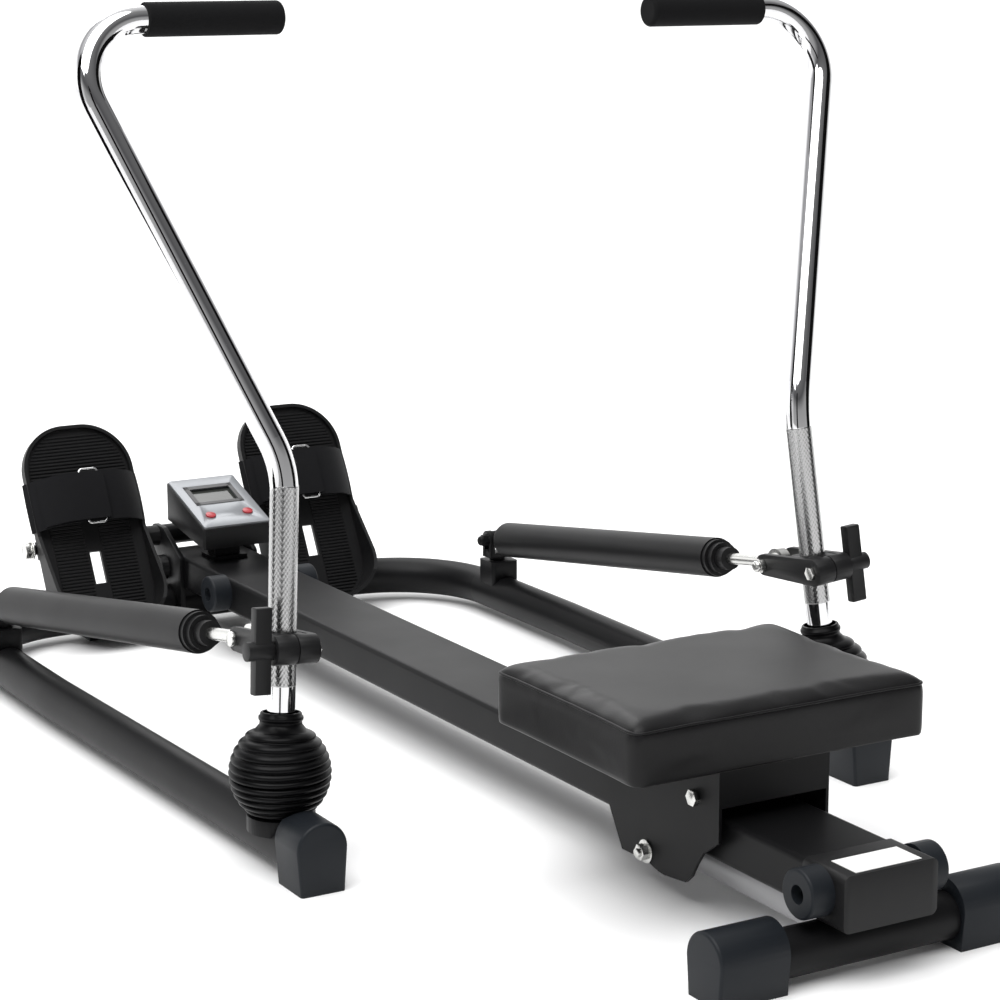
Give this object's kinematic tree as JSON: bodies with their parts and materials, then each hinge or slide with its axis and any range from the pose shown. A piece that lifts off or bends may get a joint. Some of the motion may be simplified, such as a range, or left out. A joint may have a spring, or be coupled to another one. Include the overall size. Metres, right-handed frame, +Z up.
{
  "type": "rowing machine",
  "caption": "Rowing machine with a rolling seat on a central rail, two swinging chrome arms with hydraulic cylinders, tilting footplates and a small console.",
  "frame": {"origin": "on the floor at the middle of the overall length and width", "axes": "+Z up, +Y towards the footplates along the rail, +X to the side of the machine that is on the right when facing the footplates"},
  "size_m": [0.8232, 1.4102, 0.7615],
  "materials": {
    "black_steel": "satin black powder coat",
    "grey_steel": "satin grey tube",
    "rubber": "matte, slightly blue black",
    "zinc": "bright zinc",
    "black_plastic": "matte moulded black",
    "white_label": "plain white, no text",
    "console_grey": "silver grey face",
    "display": "grey-green display",
    "red_plastic": "red",
    "board": "dark board",
    "vinyl": "black vinyl, slight sheen",
    "bellows_rubber": "matte moulded bellows",
    "chrome": "bright chrome",
    "foam": "dull foam",
    "webbing": "black webbing",
    "wire": "bright wire"
  },
  "bodies": {
    "base": {"front_frame_tube": "black_steel", "leg_cap_rubber": "rubber", "rear_crossbar": "black_steel", "rear_cap_rubber": "rubber", "rear_strut_tube": "grey_steel", "rail_tube": "black_steel", "rail_end_cover": "black_plastic", "label_plate": "white_label", "rail_front_plug": "black_plastic", "rubber_bumpers": "rubber", "frame_bolts": "zinc", "pedal_bracket": "black_steel", "pedal_axle": "zinc", "front_foot_pads": "rubber", "console_case": "black_plastic", "console_face": "console_grey", "console_display": "display", "console_bracket": "black_steel", "pivot_bracket_right": "black_steel", "bellows_boot_right": "bellows_rubber", "cylinder_mount_right": "black_steel", "pivot_bracket_left": "black_steel", "bellows_boot_left": "bellows_rubber", "cylinder_mount_left": "black_steel"},
    "carriage": {"carriage_frame": "black_steel", "carriage_bolts": "zinc", "seat_board": "board", "seat_cushion": "vinyl"},
    "roller_top_front_body": {"roller_top_front": "black_plastic"},
    "roller_top_rear_body": {"roller_top_rear": "black_plastic"},
    "roller_low_left_body": {"roller_low_left": "black_plastic"},
    "roller_low_right_body": {"roller_low_right": "black_plastic"},
    "knuckle_right": {"knuckle_cross_right": "zinc"},
    "arm_right": {"arm_tube_right": "chrome", "foam_grip_right": "foam", "clamp_halves_right": "black_plastic", "clamp_bolts_right": "zinc"},
    "knob_right": {"clamp_t_knob_right": "black_plastic"},
    "swivel_right": {"cylinder_swivel_right": "black_steel"},
    "cylinder_right": {"cylinder_body_right": "black_steel", "cylinder_gland_right": "black_plastic"},
    "rod_right": {"piston_rod_right": "zinc"},
    "pedal_right": {"footplate_right": "black_plastic", "foot_strap_right": "webbing", "strap_ring_right": "wire"},
    "console_button_right": {"button_right": "red_plastic"},
    "knuckle_left": {"knuckle_cross_left": "zinc"},
    "arm_left": {"arm_tube_left": "chrome", "foam_grip_left": "foam", "clamp_halves_left": "black_plastic", "clamp_bolts_left": "zinc"},
    "knob_left": {"clamp_t_knob_left": "black_plastic"},
    "swivel_left": {"cylinder_swivel_left": "black_steel"},
    "cylinder_left": {"cylinder_body_left": "black_steel", "cylinder_gland_left": "black_plastic"},
    "rod_left": {"piston_rod_left": "zinc"},
    "pedal_left": {"footplate_left": "black_plastic", "foot_strap_left": "webbing", "strap_ring_left": "wire"},
    "console_button_left": {"button_left": "red_plastic"}
  },
  "joints": [
    {"name": "carriage_slide", "type": "slide", "parent": "base", "child": "carriage", "axis": [0, 1, 0], "range_m": [-0.103, 0.817]},
    {"name": "roller_top_front_spin", "type": "hinge", "parent": "carriage", "child": "roller_top_front_body", "pos_m": [0, -0.40411, 0.1082], "axis": [1, 0, 0], "range_deg": [-3200, 450]},
    {"name": "roller_top_rear_spin", "type": "hinge", "parent": "carriage", "child": "roller_top_rear_body", "pos_m": [0, -0.51411, 0.1082], "axis": [1, 0, 0], "range_deg": [-3200, 450]},
    {"name": "roller_low_left_spin", "type": "hinge", "parent": "carriage", "child": "roller_low_left_body", "pos_m": [-0.0347, -0.44011, 0.0378], "axis": [1, 0, 0], "range_deg": [-450, 3200]},
    {"name": "roller_low_right_spin", "type": "hinge", "parent": "carriage", "child": "roller_low_right_body", "pos_m": [0.0347, -0.44011, 0.0378], "axis": [1, 0, 0], "range_deg": [-450, 3200]},
    {"name": "arm_swing_right", "type": "hinge", "parent": "base", "child": "knuckle_right", "pos_m": [0.3035, -0.22111, 0.088], "axis": [1, 0, 0], "range_deg": [-8, 35], "deforming": ["bellows_boot_right"]},
    {"name": "arm_splay_right", "type": "hinge", "parent": "knuckle_right", "child": "arm_right", "pos_m": [0.3035, -0.22111, 0.088], "axis": [0, 1, 0], "range_deg": [-6, 6], "deforming": ["bellows_boot_right"]},
    {"name": "t_knob_turn_right", "type": "hinge", "parent": "arm_right", "child": "knob_right", "pos_m": [0.29377, -0.2338, 0.20434], "axis": [0.9964, 0.0083, 0.0842], "continuous": true},
    {"name": "cylinder_yaw_right", "type": "hinge", "parent": "base", "child": "swivel_right", "pos_m": [0.3172, 0.45789, 0.0978], "axis": [0, 0, 1], "range_deg": [-1.3, 1.3]},
    {"name": "cylinder_pitch_right", "type": "hinge", "parent": "swivel_right", "child": "cylinder_right", "pos_m": [0.3172, 0.45789, 0.0978], "axis": [1, 0, 0], "range_deg": [-1.5, 0.6]},
    {"name": "rod_slide_right", "type": "slide", "parent": "cylinder_right", "child": "rod_right", "axis": [-0.0378, -0.9869, 0.1566], "range_m": [-0.0185, 0.0765]},
    {"name": "footplate_tilt_right", "type": "hinge", "parent": "base", "child": "pedal_right", "pos_m": [0.141, 0.64989, 0.108], "axis": [1, 0, 0], "range_deg": [-25, 0]},
    {"name": "button_press_right", "type": "slide", "parent": "base", "child": "console_button_right", "axis": [0, -0.3256, 0.9455], "range_m": [-0.0015, 0], "stiffness_N_per_m": 500},
    {"name": "arm_swing_left", "type": "hinge", "parent": "base", "child": "knuckle_left", "pos_m": [-0.3035, -0.22111, 0.088], "axis": [1, 0, 0], "range_deg": [-8, 35], "deforming": ["bellows_boot_left"]},
    {"name": "arm_splay_left", "type": "hinge", "parent": "knuckle_left", "child": "arm_left", "pos_m": [-0.3035, -0.22111, 0.088], "axis": [0, 1, 0], "range_deg": [-6, 6], "deforming": ["bellows_boot_left"]},
    {"name": "t_knob_turn_left", "type": "hinge", "parent": "arm_left", "child": "knob_left", "pos_m": [-0.29377, -0.2338, 0.20434], "axis": [-0.9964, 0.0083, 0.0842], "continuous": true},
    {"name": "cylinder_yaw_left", "type": "hinge", "parent": "base", "child": "swivel_left", "pos_m": [-0.3172, 0.45789, 0.0978], "axis": [0, 0, 1], "range_deg": [-1.3, 1.3]},
    {"name": "cylinder_pitch_left", "type": "hinge", "parent": "swivel_left", "child": "cylinder_left", "pos_m": [-0.3172, 0.45789, 0.0978], "axis": [1, 0, 0], "range_deg": [-1.5, 0.6]},
    {"name": "rod_slide_left", "type": "slide", "parent": "cylinder_left", "child": "rod_left", "axis": [0.0378, -0.9869, 0.1566], "range_m": [-0.0185, 0.0765]},
    {"name": "footplate_tilt_left", "type": "hinge", "parent": "base", "child": "pedal_left", "pos_m": [-0.141, 0.64989, 0.108], "axis": [1, 0, 0], "range_deg": [-25, 0]},
    {"name": "button_press_left", "type": "slide", "parent": "base", "child": "console_button_left", "axis": [0, -0.3256, 0.9455], "range_m": [-0.0015, 0], "stiffness_N_per_m": 500}
  ],
  "couplings": [
    {"joint": "roller_top_front_spin", "follows": "carriage_slide", "rad_per_m": -66.667},
    {"joint": "roller_top_rear_spin", "follows": "carriage_slide", "rad_per_m": -66.667},
    {"joint": "roller_low_left_spin", "follows": "carriage_slide", "rad_per_m": 66.667},
    {"joint": "roller_low_right_spin", "follows": "carriage_slide", "rad_per_m": 66.667},
    {"joint": "cylinder_yaw_right", "follows": "arm_splay_right", "ratio": 0.178},
    {"joint": "cylinder_pitch_right", "follows": "arm_swing_right", "ratio": -0.0309},
    {"joint": "rod_slide_right", "follows": "arm_swing_right", "m_per_rad": 0.12343},
    {"joint": "cylinder_yaw_left", "follows": "arm_splay_left", "ratio": 0.178},
    {"joint": "cylinder_pitch_left", "follows": "arm_swing_left", "ratio": -0.0309},
    {"joint": "rod_slide_left", "follows": "arm_swing_left", "m_per_rad": 0.12343}
  ]
}
